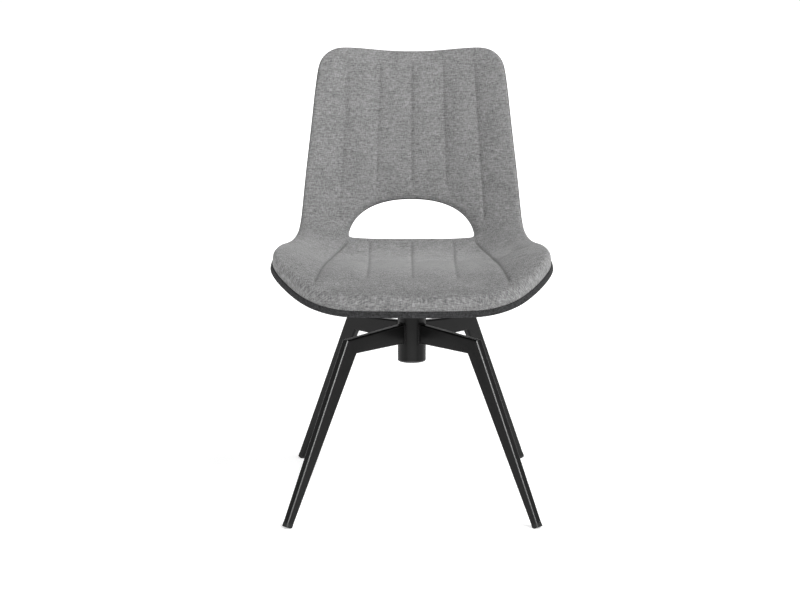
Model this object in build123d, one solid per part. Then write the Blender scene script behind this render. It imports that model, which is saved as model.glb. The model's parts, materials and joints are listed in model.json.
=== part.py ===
from build123d import *
import os
from math import atan, cos, hypot, pi, radians, sin, sqrt

# A swivel dining chair: an upholstered bucket seat with an arched opening between seat and back,
# turning on a four-legged base of welded, tapered steel tube.
# Millimetres, Z up, front of the chair towards -Y. The origin is the middle of the space that the
# chair takes up, on the floor; the swivel axis stands in front of it.
swivel_axis_y = -35.0

# ---- Base: hub, arms and legs, as radii from the swivel axis and heights over the floor ----
hub_outer_radius = 27.5
hub_wall = 3.0
hub_bottom_z = 267.0
hub_top_z = 372.0
tube_thickness = 15.0          # the flat, sideways thickness of arms and legs
tube_corner_radius = 3.5
tube_wall = 1.5
long_edge_share = 0.9          # an edge runs along the tube if it points this much its way
arm_bottom_z = 302.0
arm_depth_at_hub = 38.0
arm_top_z_at_bend = 331.0
bend_radius_out = 177.0        # to the outer corner where arm meets leg
foot_radius_out = 333.0        # to the outer edge of the foot
sole_outer_z = 4.0             # the foot's square-cut end lifts this much at its outer edge
leg_depth_at_bend = 35.0
leg_depth_at_foot = 15.0
glide_height = 8.0
glide_proud = 0.4              # the glide stands this far proud of the leg all round
glide_plug_length = 12.0
glide_plug_clearance = 0.1
leg_places = {"front_left": 225.0, "front_right": 315.0, "rear_right": 45.0, "rear_left": 135.0}

# ---- End cap of the hub ----
cap_flange_thickness = 3.0
cap_edge_bevel = 1.2
cap_plug_length = 8.0
cap_plug_wall = 2.0
cap_plug_clearance = 0.1
cap_rib_count = 6
cap_rib_thickness = 1.6

# ---- Swivel: spindle, bushes and thrust washer ----
spindle_radius = 15.0
spindle_wall = 3.5
running_clearance = 0.05
bush_ring_wall = 2.5
bush_rib_count = 8
bush_rib_thickness = 1.8
upper_bush_length = 20.0
bush_flange_thickness = 2.0
bush_flange_inset = 0.6
lower_bush_bottom_z = 286.0
lower_bush_length = 18.0
retaining_washer_thickness = 1.5
retaining_washer_radius = 22.0
circlip_thickness = 1.2
circlip_width = 3.0
circlip_groove_depth = 1.0
circlip_side_clearance = 0.05
circlip_gap_angle = 40.0
circlip_lug_radius = 2.2
circlip_lug_hole_radius = 0.9
spindle_end_length = 2.0       # the spindle ends this far under its circlip
thrust_washer_thickness = 2.0
thrust_washer_inset = 1.5      # from the edge of the bush's flange

# ---- Swivel plate under the seat and its fasteners ----
plate_width = 176.0
plate_length = 180.0
plate_corner_radius = 22.0
plate_thickness = 4.0
dish_bottom_radius = 42.0
dish_slope_run = 12.0
plate_rib_length = 44.0
plate_rib_width = 11.0
plate_rib_depth = 2.0
plate_rib_inset = 12.0
screw_spacing_x = 136.0
screw_spacing_y = 140.0
screw_radius = 3.0
screw_hole_clearance = 0.3
screw_head_radius = 5.6
screw_head_height = 3.3
screw_head_bevel = 1.5
screw_socket_width = 4.0
screw_socket_depth = 2.0
screw_point_gap = 1.0          # the screw ends this far under the top of the nut's barrel
washer_radius = 7.5
washer_thickness = 1.6
t_nut_flange_radius = 9.5
t_nut_flange_thickness = 1.2
t_nut_barrel_radius = 3.9
t_nut_barrel_length = 7.5
t_nut_clearance = 0.15
t_nut_prong_count = 4
t_nut_prong_at = 7.6
t_nut_prong_width = 2.4
t_nut_prong_thickness = 0.9
t_nut_prong_length = 4.5
cover_hole_radius = 5.0

# ---- Seat and back: layers, from the underside inwards ----
seat_underside_z = 394.0
cover_thickness = 2.5
cover_band_height = 11.5       # the dark cover turns up this far round the shell's edge
shell_thickness = 9.0
layer_gap = 0.3                # line of glue between layers
seat_pad_thickness = 34.0
back_pad_thickness = 17.0
pad_edge_share = 0.47          # thickness of the pad at its edge, against its full thickness
pad_roll_width = 30.0          # width over which the pad rolls down to its edge
opening_roll_width = 22.0
pad_side_draw = 2.0            # the pad's side is drawn in this much at the seam with the cover
pad_change_start = 430.0       # along the middle line: seat padding ends, back padding begins
pad_change_length = 160.0

# ---- Middle line of the underside, from the front edge to the top of the back ----
seat_front_reach = 235.0
flat_run = 330.0
turn_radius = 150.0
turn_angle = 75.0
back_curve_radius = 3000.0

# ---- Outline, laid out flat: half widths and distances along the middle line ----
front_half_width = 250.0
seat_half_width = 275.0
seat_widest_at = 248.0
rear_half_width = 242.0
rear_at = 430.0
waist_half_width = 229.0
waist_at = 505.0
top_half_width = 194.0
top_at = 883.0
top_dip = 11.0
front_rise = 39.0
wing_rise = 47.0
rear_rise = 46.0
waist_rise = 42.0
back_rise = 38.0
seat_flat_share = 0.45         # share of the half width that stays flat before the sides rise
back_flat_share = 0.12
side_lean_share = 0.4          # how far the layers' edges lean with the rising sides

# ---- Arched opening between seat and back ----
opening_half_width = 130.0
opening_lip_at = 473.0
opening_top_at = 571.0
opening_corner_radius = 8.0
arch_fullness = 2.25           # 2 is an ellipse, more is squarer

# ---- Sewn channels, as grooves along the pad ----
channel_width = 9.0
channel_depth = 3.0
seam_width = 1.2               # flat foot of the groove, where the stitches run
channel_fade = 0.8             # both ends of a groove rise this far clear of the pad
back_channel_count = 6
seat_channel_spacing = 86.0
seat_seam_front_at = 130.0
back_seam_end_gap = 24.0       # the back's seams fade out this far under the top edge
arch_seam_gap = 10.0           # and this far over the arch
side_seam_half_width = 184.0   # the curved seams between the seat's middle and its wings
side_seam_front_at = 40.0
seam_stops = 6

# ---- How finely the curved faces are laid out ----
spokes_around = 30
plain_rows = 12
crowned_rows = 12


def blend(share):
    """An S-curve from 0 to 1 for a share from 0 to 1."""
    share = min(max(share, 0.0), 1.0)
    return share * share * (3 - 2 * share)


def through(stations, place):
    """The value at a place on a smooth line through stations of (place, value)."""
    places = [p for p, _ in stations]
    values = [v for _, v in stations]
    slopes = []
    for i in range(len(stations)):
        low = max(i - 1, 0)
        high = min(i + 1, len(stations) - 1)
        slopes.append((values[high] - values[low]) / (places[high] - places[low]))
    i = max(k for k in range(len(places) - 1) if k == 0 or places[k] <= place)
    span = places[i + 1] - places[i]
    t = (place - places[i]) / span
    rise = values[i + 1] - values[i]
    start = slopes[i] * span
    end = slopes[i + 1] * span
    return values[i] + t * (start + t * (3 * rise - 2 * start - end + t * (start + end - 2 * rise)))


half_width_stations = [
    (0.0, front_half_width),
    (seat_widest_at, seat_half_width),
    (rear_at, rear_half_width),
    (waist_at, waist_half_width),
    (top_at, top_half_width),
]
rise_stations = [
    (0.0, front_rise),
    (seat_widest_at, wing_rise),
    (rear_at, rear_rise),
    (waist_at, waist_rise),
    (waist_at + 95.0, back_rise),
    (top_at, back_rise),
]


def middle_line(along):
    """Place and slope of the middle line of the underside: y, z and angle from level."""
    turn = radians(turn_angle)
    turn_start_y = flat_run - seat_front_reach
    if along <= flat_run:
        return along - seat_front_reach, seat_underside_z, 0.0
    if along <= flat_run + turn_radius * turn:
        angle = (along - flat_run) / turn_radius
        y = turn_start_y + turn_radius * sin(angle)
        return y, seat_underside_z + turn_radius * (1 - cos(angle)), angle
    angle = turn + (along - flat_run - turn_radius * turn) / back_curve_radius
    y = turn_start_y + turn_radius * sin(turn) + back_curve_radius * (sin(angle) - sin(turn))
    z = seat_underside_z + turn_radius * (1 - cos(turn)) + back_curve_radius * (cos(turn) - cos(angle))
    return y, z, angle


def flat_share(along):
    """Share of the half width that stays flat, seat to back."""
    share = blend((along - flat_run) / 250.0)
    return seat_flat_share + (back_flat_share - seat_flat_share) * share


def seat_point(across, along, height):
    """A point of the seat, a height above the underside, from its place in the flat layout."""
    y, z, angle = middle_line(along)
    half = through(half_width_stations, along)
    rise = through(rise_stations, along)
    flat = flat_share(along)
    beyond = max(across / half - flat, 0.0) / (1 - flat)
    lift = rise * beyond ** 2
    slope = atan(2 * rise * beyond / (1 - flat) / half)
    lean = side_lean_share * slope
    height = height / cos(slope - lean)
    up = lift + height * cos(lean)
    return Vector(across - height * sin(lean), y - up * sin(angle), z + up * cos(angle))


def rim_line():
    """The outer outline in the flat layout, from the middle of the front to the middle of the top."""
    return Spline(
        (0, 0),
        (seat_half_width - 120, 21),
        (seat_half_width - 83, 45),
        (seat_half_width - 58, 80),
        (seat_half_width - 33, 132),
        (seat_half_width - 12, seat_widest_at - 58),
        (seat_half_width, seat_widest_at),
        (seat_half_width - 8, seat_widest_at + 87),
        (rear_half_width + 3, rear_at - 15),
        (waist_half_width, waist_at - 5),
        (waist_half_width - 10, waist_at + 95),
        (top_half_width + 10, top_at - 143),
        (top_half_width, top_at - 57),
        (top_half_width - 12, top_at - 20),
        (top_half_width - 34, top_at - 4),
        (top_half_width - 64, top_at),
        (60, top_at - top_dip + 4),
        (0, top_at - top_dip),
        tangents=((1, 0), (-1, 0)),
    )


def opening_line():
    """The opening's outline in the flat layout, from the middle of its lip to its top."""
    corner = opening_corner_radius
    arch_base = opening_lip_at + corner
    arch_height = opening_top_at - arch_base
    lip = Line((0, opening_lip_at), (opening_half_width - corner, opening_lip_at))
    turn = TangentArc(lip @ 1, (opening_half_width, arch_base), tangent=lip % 1)
    power = 2 / arch_fullness
    arch_angles = [radians(a) for a in (0, 15, 30, 45, 60, 75, 90)]
    arch = Spline(
        *[
            (opening_half_width * abs(cos(a)) ** power, arch_base + arch_height * sin(a) ** power)
            for a in arch_angles[:-1]
        ],
        (0, opening_top_at),
        tangents=((0, 1), (-1, 0)),
    )
    return Wire([lip, turn, arch])


# Shares of the rim's length and of the opening's length that one spoke joins.
spoke_matches = [(0.0, 0.0), (0.25, 0.30), (0.45, 0.44), (0.62, 0.55), (0.8, 0.78), (1.0, 1.0)]
RIM = rim_line()
OPENING = opening_line()


def spoke_ends(share, rim_inset, opening_inset):
    """Both ends of one spoke, drawn in from the rim and from the opening."""
    at = through(spoke_matches, share)
    rim = RIM @ share
    rim_way = RIM % share
    hole = OPENING @ at
    hole_way = OPENING % at
    outer = (rim.X - rim_inset * rim_way.Y, rim.Y + rim_inset * rim_way.X)
    inner = (hole.X + opening_inset * hole_way.Y, hole.Y - opening_inset * hole_way.X)
    if share in (0.0, 1.0):
        return (0.0, inner[1]), (0.0, outer[1])
    return inner, outer


def ring_point(share, row, height, insets):
    """Point of a skin on one spoke, at a share of its length from the opening to the rim."""
    inner, outer = spoke_ends(share, *insets)
    length = hypot(outer[0] - inner[0], outer[1] - inner[1])
    across = inner[0] + (outer[0] - inner[0]) * row
    along = inner[1] + (outer[1] - inner[1]) * row
    return seat_point(across, along, height(along, length * row, length * (1 - row)))


def ring(row, height, insets):
    """A line round the right half of a skin, square to the chair's middle plane at both ends."""
    points = [ring_point(i / spokes_around, row, height, insets) for i in range(spokes_around + 1)]
    return Edge.make_spline(points, tangents=[(1, 0, 0), (-1, 0, 0)])


def row_share(share, crowding):
    """Place of a row on its spoke: evenly spaced, or crowded towards both edges."""
    return share + crowding * ((1 - cos(pi * share)) / 2 - share)


def half_skin(height, insets, rows, edge_crowding):
    """Smooth face of the right half, lofted from the opening to the rim."""
    shares = [row_share(j / rows, edge_crowding) for j in range(rows + 1)]
    return Shell.make_loft([Wire([ring(share, height, insets)]) for share in shares]).face()


def level(height):
    """The height of a skin that keeps one distance from the underside."""
    return lambda *_: height


def whole_solid(half_faces):
    """A closed solid from the faces of its right half and their mirror images."""
    faces = half_faces + [face.mirror(Plane.YZ) for face in half_faces]
    return Solid(Shell(faces))


def side_walls(*skins):
    """Ruled faces round the rim and round the opening, from each skin's edge to the next one's."""
    walls = []
    for row in (0.0, 1.0):
        for one, other in zip(skins, skins[1:]):
            walls.append(Face.make_surface_from_curves(ring(row, *one), ring(row, *other)))
    return walls


def pad_height(along, from_opening, from_rim):
    """Height of the pad's front above the underside: full inside, rolled down to its edges."""
    back = blend((along - pad_change_start) / pad_change_length)
    full = seat_pad_thickness + (back_pad_thickness - seat_pad_thickness) * back
    drops = []
    for distance, width in ((from_rim, pad_roll_width), (from_opening, opening_roll_width)):
        out = max(width - distance, 0.0) / width
        drops.append(1 - sqrt(max(1 - out * out, 0.0)))
    pad_base = cover_thickness + shell_thickness + 2 * layer_gap
    return pad_base + full * (1 - (1 - pad_edge_share) * max(drops))


def layer(under, upper, rows, crowding, *between):
    """A closed layer between two skins, each a height and its insets, by way of edges between."""
    faces = [half_skin(*under, plain_rows, 0.0), half_skin(*upper, rows, crowding)]
    return whole_solid(faces + side_walls(under, *between, upper))


def back_cover():
    """Dark cover: a thin skin under the seat and behind the back that turns up round the shell."""
    outside = (0.0, 0.0)
    inside = (cover_thickness, cover_thickness)
    band = level(cover_band_height)
    edges = ((band, outside), (band, inside))
    return layer((level(0.0), outside), (level(cover_thickness), inside), plain_rows, 0.0, *edges)


def seat_shell():
    """Moulded plywood shell inside the cover."""
    low = cover_thickness + layer_gap
    return layer((level(low), (low, low)), (level(low + shell_thickness), (low, low)), plain_rows, 0.0)


def full_pad_height(along):
    """Height of the pad's crown above the underside, away from its edges."""
    back = blend((along - pad_change_start) / pad_change_length)
    pad_base = cover_thickness + shell_thickness + 2 * layer_gap
    return pad_base + seat_pad_thickness + (back_pad_thickness - seat_pad_thickness) * back


def pad_point(stop, lift=0.0):
    """A point on the pad's crown, or a lift above it, from its place in the flat layout."""
    across, along = stop
    return seat_point(across, along, full_pad_height(along) + lift)


def seam_tool(stops):
    """Bar that presses one sewn channel into the pad and rises clear of it at both ends."""
    sections = []
    last = len(stops) - 1
    for i, stop in enumerate(stops):
        place = pad_point(stop)
        way = pad_point(stops[min(i + 1, last)]) - pad_point(stops[max(i - 1, 0)])
        side = way.cross(pad_point(stop, 1.0) - place).normalized()
        up = side.cross(way).normalized()
        sunk = channel_depth if 0 < i < last else -channel_fade
        foot = place - up * sunk
        top = foot + up * channel_depth * 4 / 3
        half_top = side * channel_width * 2 / 3
        half_foot = side * seam_width / 2
        corners = [top - half_top, foot - half_foot, foot + half_foot, top + half_top]
        sections.append(Wire.make_polygon(corners, close=True))
    return Solid.make_loft(sections)


def evenly(low, high):
    """Distances from low to high for the stops of a seam."""
    return [low + (high - low) * i / seam_stops for i in range(seam_stops + 1)]


def back_seam(number, low):
    """Stops of a seam of the back, which fans with the taper of the sides."""
    share = 2 * number / back_channel_count
    high = top_at - back_seam_end_gap
    return [(share * through(half_width_stations, along), along) for along in evenly(low, high)]


def side_seam():
    """Stops of the curved seam from the opening's corner to the front, beside the seat's middle."""
    return [
        (side_seam_half_width, side_seam_front_at),
        (side_seam_half_width, side_seam_front_at + 50),
        (side_seam_half_width - 2, seat_widest_at - 104),
        (side_seam_half_width - 8, seat_widest_at - 38),
        (side_seam_half_width - 17, seat_widest_at + 22),
        (side_seam_half_width - 34, rear_at - 52),
        (side_seam_half_width - 47, rear_at - 10),
        (opening_half_width - 4, opening_lip_at - opening_roll_width),
    ]


def channels():
    """Wedges of all the sewn channels."""
    over_arch = opening_top_at + arch_seam_gap
    lip = opening_lip_at - opening_roll_width
    seams = [back_seam(0, over_arch), back_seam(1, over_arch), back_seam(2, waist_at)]
    for across in (0.0, seat_channel_spacing):
        seams.append([(across, along) for along in evenly(seat_seam_front_at, lip)])
    seams.append(side_seam())
    tools = [seam_tool(stops) for stops in seams]
    return tools + [tool.mirror(Plane.YZ) for tool, stops in zip(tools, seams) if stops[0][0] > 0]


def front_upholstery():
    """Padded front of seat and back, crowned, with sides drawn in at the seam and sewn channels."""
    low = cover_thickness + shell_thickness + 2 * layer_gap
    drawn = (pad_side_draw, pad_side_draw)
    pad = layer((level(low), drawn), (pad_height, (0.0, 0.0)), crowned_rows, 0.8)
    return pad - channels()


# ---- Heights that follow from the values above ----
hub_inner_radius = hub_outer_radius - hub_wall
flange_top_z = hub_top_z + bush_flange_thickness
dish_bottom_z = flange_top_z + thrust_washer_thickness
plate_top_z = seat_underside_z - layer_gap
plate_bottom_z = plate_top_z - plate_thickness
retaining_washer_top_z = lower_bush_bottom_z - running_clearance
circlip_top_z = retaining_washer_top_z - retaining_washer_thickness - circlip_side_clearance
spindle_end_z = circlip_top_z - circlip_thickness - circlip_side_clearance - spindle_end_length
shell_bottom_z = seat_underside_z + cover_thickness + layer_gap
shell_top_z = shell_bottom_z + shell_thickness
t_nut_top_z = shell_top_z - t_nut_clearance
t_nut_barrel_z = t_nut_top_z - t_nut_flange_thickness - t_nut_barrel_length
screw_places = [
    (side * screw_spacing_x / 2, end * screw_spacing_y / 2) for side in (-1, 1) for end in (-1, 1)
]


def turned(*outline):
    """A solid turned about the swivel axis from an outline of radii and heights."""
    return revolve(Plane.XZ * make_face(Polyline(*outline, close=True)), Axis.Z)


def ring_solid(inner_radius, outer_radius, bottom_z, top_z):
    """A plain ring about the swivel axis."""
    return turned((inner_radius, bottom_z), (outer_radius, bottom_z), (outer_radius, top_z), (inner_radius, top_z))


def post(radius, bottom_z, top_z, place=(0, 0)):
    """An upright round post."""
    return Pos(*place, (bottom_z + top_z) / 2) * Cylinder(radius, top_z - bottom_z)


def spokes_of(count, inner_radius, outer_radius, thickness, bottom_z, top_z):
    """Upright radial ribs between two radii."""
    length = outer_radius - inner_radius
    rib = Pos((inner_radius + outer_radius) / 2, 0, (bottom_z + top_z) / 2)
    rib = rib * Box(length, thickness, top_z - bottom_z)
    return [Rot(0, 0, 360 * i / count) * rib for i in range(count)]


# ---- Base ----
def leg_line():
    """The leg's outer edge as start, direction, inward direction and length, as (radius, height)."""
    run = foot_radius_out - bend_radius_out
    fall = arm_top_z_at_bend - sole_outer_z
    length = hypot(run, fall)
    way = Vector(run / length, 0, -fall / length)
    inward = Vector(-fall / length, 0, -run / length)
    return Vector(bend_radius_out, 0, arm_top_z_at_bend), way, inward, length


def leg_depth(distance):
    """Depth of the leg at a distance down its outer edge from the bend."""
    length = leg_line()[3]
    return leg_depth_at_bend + (leg_depth_at_foot - leg_depth_at_bend) * distance / length


def rounded_bar(sections, inset):
    """A straight bar between two sections of (middle, direction, depth direction, depth)."""
    (start, way, depth_way, start_depth), (end, _, _, end_depth) = sections
    start_half = depth_way * (start_depth / 2 - inset)
    end_half = depth_way * (end_depth / 2 - inset)
    side = make_face(Polyline(start - start_half, end - end_half, end + end_half, start + start_half, close=True))
    bar = extrude(side, tube_thickness / 2 - inset, dir=(0, 1, 0), both=True)
    long_edges = [edge for edge in bar.edges() if abs((edge % 0.5).dot(way)) > long_edge_share]
    return fillet(long_edges, tube_corner_radius - inset)


def leg_sections(start, end):
    """Sections of a leg between two distances down its outer edge."""
    top, way, inward, _ = leg_line()
    return [(top + way * d + inward * leg_depth(d) / 2, way, inward, leg_depth(d)) for d in (start, end)]


def arm_sections(start, end):
    """Sections of an arm between two radii."""
    slope = (arm_depth_at_hub - (arm_top_z_at_bend - arm_bottom_z)) / (bend_radius_out - hub_outer_radius)
    sections = []
    for radius in (start, end):
        depth = arm_depth_at_hub - slope * (radius - hub_outer_radius)
        middle = Vector(radius, 0, arm_bottom_z + depth / 2)
        sections.append((middle, Vector(1, 0, 0), Vector(0, 0, 1), depth))
    return sections


def mitre_plane():
    """The plane of the welded mitre between arm and leg, facing down the leg."""
    top, way, inward, length = leg_line()
    inner_top = top + inward * leg_depth_at_bend
    inner_foot = top + way * length + inward * leg_depth_at_foot
    share = (inner_top.Z - arm_bottom_z) / (inner_top.Z - inner_foot.Z)
    inner_corner = inner_top + (inner_foot - inner_top) * share
    joint = inner_corner - top
    return Plane(origin=top, x_dir=(0, 1, 0), z_dir=Vector(-joint.Z, 0, joint.X))


def arm():
    """Hollow arm from the hub to the mitre, coped round the hub."""
    reach = bend_radius_out + leg_depth_at_bend
    start = hub_outer_radius / 2
    bar = rounded_bar(arm_sections(start, reach), 0) - rounded_bar(arm_sections(start, reach), tube_wall)
    bar = bar - post(hub_outer_radius, arm_bottom_z - hub_wall, hub_top_z)
    return split(bar, bisect_by=mitre_plane(), keep=Keep.BOTTOM)


def leg():
    """Hollow tapered leg from the mitre to its square-cut end."""
    length = leg_line()[3]
    sections = leg_sections(-leg_depth_at_bend, length - glide_height)
    bar = rounded_bar(sections, 0) - rounded_bar(sections, tube_wall)
    return split(bar, bisect_by=mitre_plane(), keep=Keep.TOP)


def glide():
    """Plastic foot: a plug inside the leg and a sole that is flat where it meets the floor."""
    length = leg_line()[3]
    leg_end = length - glide_height
    sole = rounded_bar(leg_sections(leg_end, length), -glide_proud)
    plug = rounded_bar(leg_sections(leg_end - glide_plug_length, leg_end), tube_wall + glide_plug_clearance)
    return split(sole + plug, bisect_by=Plane.XY, keep=Keep.TOP)


def hub_tube():
    """Upright tube that the arms are welded to."""
    return ring_solid(hub_inner_radius, hub_outer_radius, hub_bottom_z, hub_top_z)


def hub_end_cap():
    """Plastic cap that closes the hub from below, with a ribbed plug."""
    plug_radius = hub_inner_radius - cap_plug_clearance
    plug_top_z = hub_bottom_z + cap_plug_length
    flange_z = hub_bottom_z - cap_flange_thickness
    flange = post(hub_outer_radius, flange_z, hub_bottom_z)
    flange = chamfer(flange.edges().sort_by(Axis.Z)[0], cap_edge_bevel)
    plug = ring_solid(plug_radius - cap_plug_wall, plug_radius, hub_bottom_z, plug_top_z)
    boss = post(cap_plug_wall, hub_bottom_z, plug_top_z)
    inner = plug_radius - cap_plug_wall / 2
    return flange + plug + boss + spokes_of(cap_rib_count, 0, inner, cap_rib_thickness, hub_bottom_z, plug_top_z)


def bush_body(bottom_z, top_z):
    """Moulded bush between spindle and hub: two rings joined by ribs."""
    bore = spindle_radius + running_clearance
    inner = ring_solid(bore, bore + bush_ring_wall, bottom_z, top_z)
    outer = ring_solid(hub_inner_radius - bush_ring_wall, hub_inner_radius, bottom_z, top_z)
    rib_in = bore + bush_ring_wall / 2
    rib_out = hub_inner_radius - bush_ring_wall / 2
    return inner + outer + spokes_of(bush_rib_count, rib_in, rib_out, bush_rib_thickness, bottom_z, top_z)


def upper_bush():
    """Bush at the top of the hub, with the flange that the thrust washer lies on."""
    flange_radius = hub_outer_radius - bush_flange_inset
    flange = ring_solid(spindle_radius + running_clearance, flange_radius, hub_top_z, flange_top_z)
    return bush_body(hub_top_z - upper_bush_length, hub_top_z) + flange


def lower_bush():
    """Bush low in the hub that keeps the spindle upright."""
    return bush_body(lower_bush_bottom_z, lower_bush_bottom_z + lower_bush_length)


def thrust_washer():
    """Low-friction washer that the swivel plate turns on."""
    outer = hub_outer_radius - bush_flange_inset - thrust_washer_inset
    return ring_solid(spindle_radius + running_clearance, outer, flange_top_z, dish_bottom_z)


# ---- Swivel plate and spindle ----
def swivel_plate():
    """Pressed steel plate with a dished middle that the spindle is welded into."""
    rim_radius = dish_bottom_radius + dish_slope_run
    slope = (plate_bottom_z - dish_bottom_z) / dish_slope_run
    shift = plate_thickness * (hypot(1, slope) - 1) / slope
    dish = turned(
        (spindle_radius, dish_bottom_z),
        (dish_bottom_radius, dish_bottom_z),
        (rim_radius, plate_bottom_z),
        (rim_radius + plate_thickness, plate_bottom_z),
        (rim_radius + plate_thickness, plate_top_z),
        (rim_radius - shift, plate_top_z),
        (dish_bottom_radius - shift, dish_bottom_z + plate_thickness),
        (spindle_radius, dish_bottom_z + plate_thickness),
    )
    flat = RectangleRounded(plate_width, plate_length, plate_corner_radius) - Circle(rim_radius + plate_thickness / 2)
    plate = Pos(0, 0, plate_bottom_z) * extrude(flat, plate_thickness) + dish
    rib_at = plate_length / 2 - plate_rib_inset
    for side in (-1, 1):
        rib = Pos(0, side * rib_at, plate_bottom_z - plate_rib_depth) * SlotOverall(plate_rib_length, plate_rib_width)
        hollow_width = plate_rib_width - plate_thickness
        hollow = SlotOverall(plate_rib_length - plate_thickness, hollow_width)
        plate = plate + extrude(rib, plate_rib_depth, dir=(0, 0, 1))
        plate = plate - extrude(Pos(0, side * rib_at, plate_top_z) * hollow, plate_thickness, dir=(0, 0, -1))
    hole = screw_radius + screw_hole_clearance
    return plate - [post(hole, plate_bottom_z - 1, plate_top_z + 1, place) for place in screw_places]


def spindle():
    """Hollow spindle with a groove near its end for the circlip."""
    bore = spindle_radius - spindle_wall
    groove = spindle_radius - circlip_groove_depth
    groove_top_z = circlip_top_z + circlip_side_clearance
    groove_bottom_z = circlip_top_z - circlip_thickness - circlip_side_clearance
    return turned(
        (bore, spindle_end_z),
        (spindle_radius, spindle_end_z),
        (spindle_radius, groove_bottom_z),
        (groove, groove_bottom_z),
        (groove, groove_top_z),
        (spindle_radius, groove_top_z),
        (spindle_radius, dish_bottom_z + plate_thickness),
        (bore, dish_bottom_z + plate_thickness),
    )


def retaining_washer():
    """Washer on the spindle under the lower bush."""
    bottom_z = retaining_washer_top_z - retaining_washer_thickness
    bore = spindle_radius + running_clearance
    return ring_solid(bore, retaining_washer_radius, bottom_z, retaining_washer_top_z)


def circlip():
    """Open spring ring with two drilled lugs, in the spindle's groove."""
    inner = spindle_radius - circlip_groove_depth
    outer = inner + circlip_width
    half_gap = radians(circlip_gap_angle / 2)
    middle = (inner + outer) / 2
    gap_length = 2 * outer
    gap = make_face(Polyline(
        (0, 0),
        (gap_length * cos(half_gap), gap_length * sin(half_gap)),
        (gap_length * cos(half_gap), -gap_length * sin(half_gap)),
        close=True,
    ))
    ring_face = Circle(outer) - Circle(inner) - gap
    for side in (-1, 1):
        at = Pos((outer - 0.3) * cos(half_gap), side * (outer - 0.3) * sin(half_gap))
        ring_face = ring_face + at * Circle(circlip_lug_radius)
        ring_face = ring_face - at * Circle(circlip_lug_hole_radius)
    ring_face = ring_face - Circle(inner)
    return Pos(0, 0, circlip_top_z - circlip_thickness) * extrude(ring_face, circlip_thickness)


# ---- Fasteners of the seat ----
def plate_screws():
    """Four socket-head screws from under the plate into the seat."""
    head_top_z = plate_bottom_z - washer_thickness
    head_bottom_z = head_top_z - screw_head_height
    screws = []
    for place in screw_places:
        head = post(screw_head_radius, head_bottom_z, head_top_z, place)
        head = chamfer(head.edges().sort_by(Axis.Z)[0], screw_head_bevel)
        shank_top_z = t_nut_top_z - t_nut_flange_thickness - screw_point_gap
        shank = post(screw_radius, head_top_z, shank_top_z, place)
        socket = Pos(*place, head_bottom_z) * RegularPolygon(screw_socket_width / sqrt(3), 6)
        screws.append((head + shank - extrude(socket, screw_socket_depth, dir=(0, 0, 1))).solid())
    return Compound(screws)


def plate_washers():
    """Four washers under the screw heads."""
    bottom_z = plate_bottom_z - washer_thickness
    hole = screw_radius + screw_hole_clearance
    washers = []
    for place in screw_places:
        washer = post(washer_radius, bottom_z, plate_bottom_z, place) - post(hole, bottom_z - 1, plate_bottom_z + 1, place)
        washers.append(washer.solid())
    return Compound(washers)


def t_nut(place, clearance):
    """One pronged nut, or with a clearance the space that it needs in the shell."""
    flange_z = t_nut_top_z - t_nut_flange_thickness - clearance
    nut = post(t_nut_flange_radius + clearance, flange_z, t_nut_top_z + 2 * clearance, place)
    nut = nut + post(t_nut_barrel_radius + clearance, t_nut_barrel_z - clearance, flange_z, place)
    prong_z = flange_z - t_nut_prong_length / 2
    prong = Box(
        t_nut_prong_thickness + 2 * clearance,
        t_nut_prong_width + 2 * clearance,
        t_nut_prong_length + clearance,
    )
    for around in PolarLocations(t_nut_prong_at, t_nut_prong_count):
        nut = nut + Pos(*place, prong_z) * around * prong
    return nut


def t_nuts():
    """Four pronged nuts let into the top of the shell."""
    nuts = []
    bore = screw_radius + running_clearance
    for place in screw_places:
        nut = t_nut(place, 0) - post(bore, t_nut_barrel_z - 1, t_nut_top_z + 1, place)
        nuts.append(nut.solid())
    return Compound(nuts)


def drilled_cover():
    """The cover with its holes for the screws."""
    top_z = seat_underside_z + 2 * cover_thickness
    return back_cover() - [post(cover_hole_radius, plate_top_z, top_z, place) for place in screw_places]


def drilled_shell():
    """The shell with its holes and recesses for the pronged nuts."""
    shell = seat_shell()
    through_hole = t_nut_barrel_radius + t_nut_clearance
    for place in screw_places:
        shell = shell - (t_nut(place, t_nut_clearance) + post(through_hole, plate_top_z, shell_top_z, place))
    return shell


def write(name, shape):
    """Write one piece to its file, set over the swivel axis."""
    export_step(Pos(0, swivel_axis_y, 0) * shape, f"parts/{name}.step")


os.makedirs("parts", exist_ok=True)
one_arm, one_leg, one_glide = arm(), leg(), glide()
for side, angle in leg_places.items():
    write(f"arm_{side}", Rot(0, 0, angle) * one_arm)
    write(f"leg_{side}", Rot(0, 0, angle) * one_leg)
    write(f"glide_{side}", Rot(0, 0, angle) * one_glide)
for make in (hub_tube, hub_end_cap, upper_bush, lower_bush, thrust_washer,
             swivel_plate, spindle, retaining_washer, circlip, plate_screws, plate_washers, t_nuts):
    write(make.__name__, make())
write("seat_shell", drilled_shell())
write("back_cover", drilled_cover())
write("front_upholstery", front_upholstery())
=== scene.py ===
# %% [markdown]
# # A swivel dining chair
# The chair has a padded bucket seat in grey mélange fabric, a dark cover behind it, an arched
# opening between seat and back, and a base of black tube. The metal, plastic and hidden pieces
# come ready from the CAD model and only get finishes here. The two fabric pieces are made in
# this file, because cloth has puffs, puckers and rolled edges that a CAD solid leaves out, and
# so are the weld beads. All sizes are in metres, and `mm` turns a size in millimetres into them.

# %% Load the frame
import json
import math

import bpy
import numpy as np
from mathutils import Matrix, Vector, noise
from mathutils.geometry import delaunay_2d_cdt


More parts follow.
